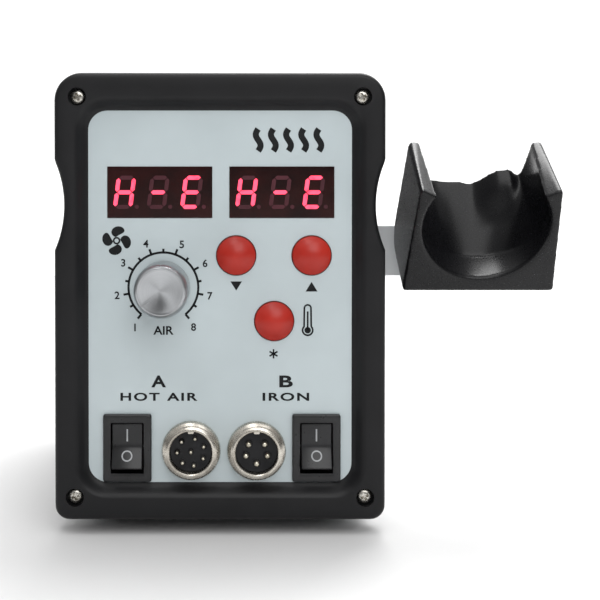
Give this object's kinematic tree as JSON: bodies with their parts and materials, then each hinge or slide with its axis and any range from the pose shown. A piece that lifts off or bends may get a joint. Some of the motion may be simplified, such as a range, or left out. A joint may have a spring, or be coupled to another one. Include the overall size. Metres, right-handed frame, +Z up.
{
  "type": "soldering station",
  "caption": "Compact bench soldering and hot-air station with display panel, air knob, push buttons, rocker switches, round sockets and a side cradle for the air handle.",
  "frame": {"origin": "middle of the station's footprint, cradle included, on the surface that the feet rest on", "axes": "+X to the right seen from the front, +Y from the front panel to the rear, +Z up"},
  "size_m": [0.1562, 0.1638, 0.143],
  "materials": {
    "black_abs": "satin moulded",
    "panel_film": "printed film, semi-gloss",
    "led_filter": "smoked red filter",
    "tinned_metal": "tinned",
    "circuit_board": "solder mask",
    "nickel": "nickel plated",
    "black_nylon": "moulded",
    "red_cap": "gloss moulded",
    "blue_plastic": "moulded",
    "steel_bright": "turned",
    "spun_aluminium": "spun face, anodised",
    "nickel_shell": "nickel plated, warm",
    "phenolic": "moulded",
    "zinc_sheet": "zinc plated sheet",
    "powder_coat": "fine textured powder coat",
    "black_screw": "black oxide",
    "fuse_glass": "clear glass",
    "lamination": "varnished stack",
    "ivory_nylon": "moulded",
    "coil_tape": "polyester tape",
    "brass": "turned",
    "capacitor_sleeve": "shrink sleeve",
    "aluminium_fin": "extruded",
    "epoxy": "moulded epoxy",
    "green_plastic": "moulded",
    "grey_ribbon": "flat ribbon",
    "black_rubber": "moulded",
    "bracket_steel": "light grey satin",
    "cradle_abs": "satin moulded",
    "magnet": "nickel plated"
  },
  "bodies": {
    "station": {"front_bezel": "black_abs", "panel_overlay": "panel_film", "display_left": "led_filter", "display_right": "led_filter", "display_pins": "tinned_metal", "display_board": "circuit_board", "board_screws": "nickel", "tact_switches": "black_nylon", "pot_body": "blue_plastic", "pot_nut": "nickel", "air_socket_shell": "nickel_shell", "air_socket_insert": "phenolic", "air_socket_pins": "tinned_metal", "iron_socket_shell": "nickel_shell", "iron_socket_insert": "phenolic", "iron_socket_pins": "tinned_metal", "socket_nuts": "nickel", "air_switch_housing": "black_nylon", "iron_switch_housing": "black_nylon", "switch_terminals": "tinned_metal", "bezel_screws": "nickel", "chassis_tray": "zinc_sheet", "top_cover": "powder_coat", "rear_panel": "powder_coat", "cover_screws": "black_screw", "inlet_housing": "black_nylon", "inlet_pins": "tinned_metal", "inlet_screws": "nickel", "transformer_core": "lamination", "transformer_bobbin": "ivory_nylon", "transformer_winding": "coil_tape", "transformer_frame": "zinc_sheet", "transformer_screws": "nickel", "main_board": "circuit_board", "board_standoffs": "brass", "relay": "blue_plastic", "capacitors": "capacitor_sleeve", "heatsink": "aluminium_fin", "triacs": "epoxy", "terminal_blocks": "green_plastic", "control_chips": "epoxy", "ribbon_cable": "grey_ribbon", "feet": "black_rubber", "foot_screws": "nickel", "cradle_bracket": "bracket_steel", "bracket_screws": "nickel", "bracket_nuts": "nickel", "pivot_screw": "nickel", "pivot_nut": "nickel"},
    "button_down": {"button_down": "red_cap"},
    "button_up": {"button_up": "red_cap"},
    "button_set": {"button_set": "red_cap"},
    "air_knob": {"knob": "spun_aluminium", "pot_shaft": "steel_bright"},
    "air_rocker": {"air_switch_rocker": "black_nylon"},
    "iron_rocker": {"iron_switch_rocker": "black_nylon"},
    "fuse_carrier": {"fuse_drawer": "black_nylon", "fuse": "fuse_glass"},
    "cradle_swing": {"cradle": "cradle_abs", "cradle_magnet": "magnet"}
  },
  "joints": [
    {"name": "button_down_press", "type": "slide", "parent": "station", "child": "button_down", "axis": [0, 1, 0], "range_m": [0, 0.001], "stiffness_N_per_m": 600},
    {"name": "button_up_press", "type": "slide", "parent": "station", "child": "button_up", "axis": [0, 1, 0], "range_m": [0, 0.001], "stiffness_N_per_m": 600},
    {"name": "button_set_press", "type": "slide", "parent": "station", "child": "button_set", "axis": [0, 1, 0], "range_m": [0, 0.001], "stiffness_N_per_m": 600},
    {"name": "air_knob_turn", "type": "hinge", "parent": "station", "child": "air_knob", "pos_m": [-0.0447, -0.0699, 0.0767], "axis": [0, 1, 0], "range_deg": [-15.6, 266.4]},
    {"name": "air_switch", "type": "hinge", "parent": "station", "child": "air_rocker", "pos_m": [-0.0559, -0.0646, 0.0268], "axis": [1, 0, 0], "range_deg": [0, 22]},
    {"name": "iron_switch", "type": "hinge", "parent": "station", "child": "iron_rocker", "pos_m": [0.0028, -0.0646, 0.0268], "axis": [1, 0, 0], "range_deg": [0, 22]},
    {"name": "fuse_drawer_slide", "type": "slide", "parent": "station", "child": "fuse_carrier", "axis": [0, 1, 0], "range_m": [0, 0.02]},
    {"name": "cradle_tilt", "type": "hinge", "parent": "station", "child": "cradle_swing", "pos_m": [0.05425, -0.0384, 0.082], "axis": [1, 0, 0], "range_deg": [-15, 40]}
  ]
}
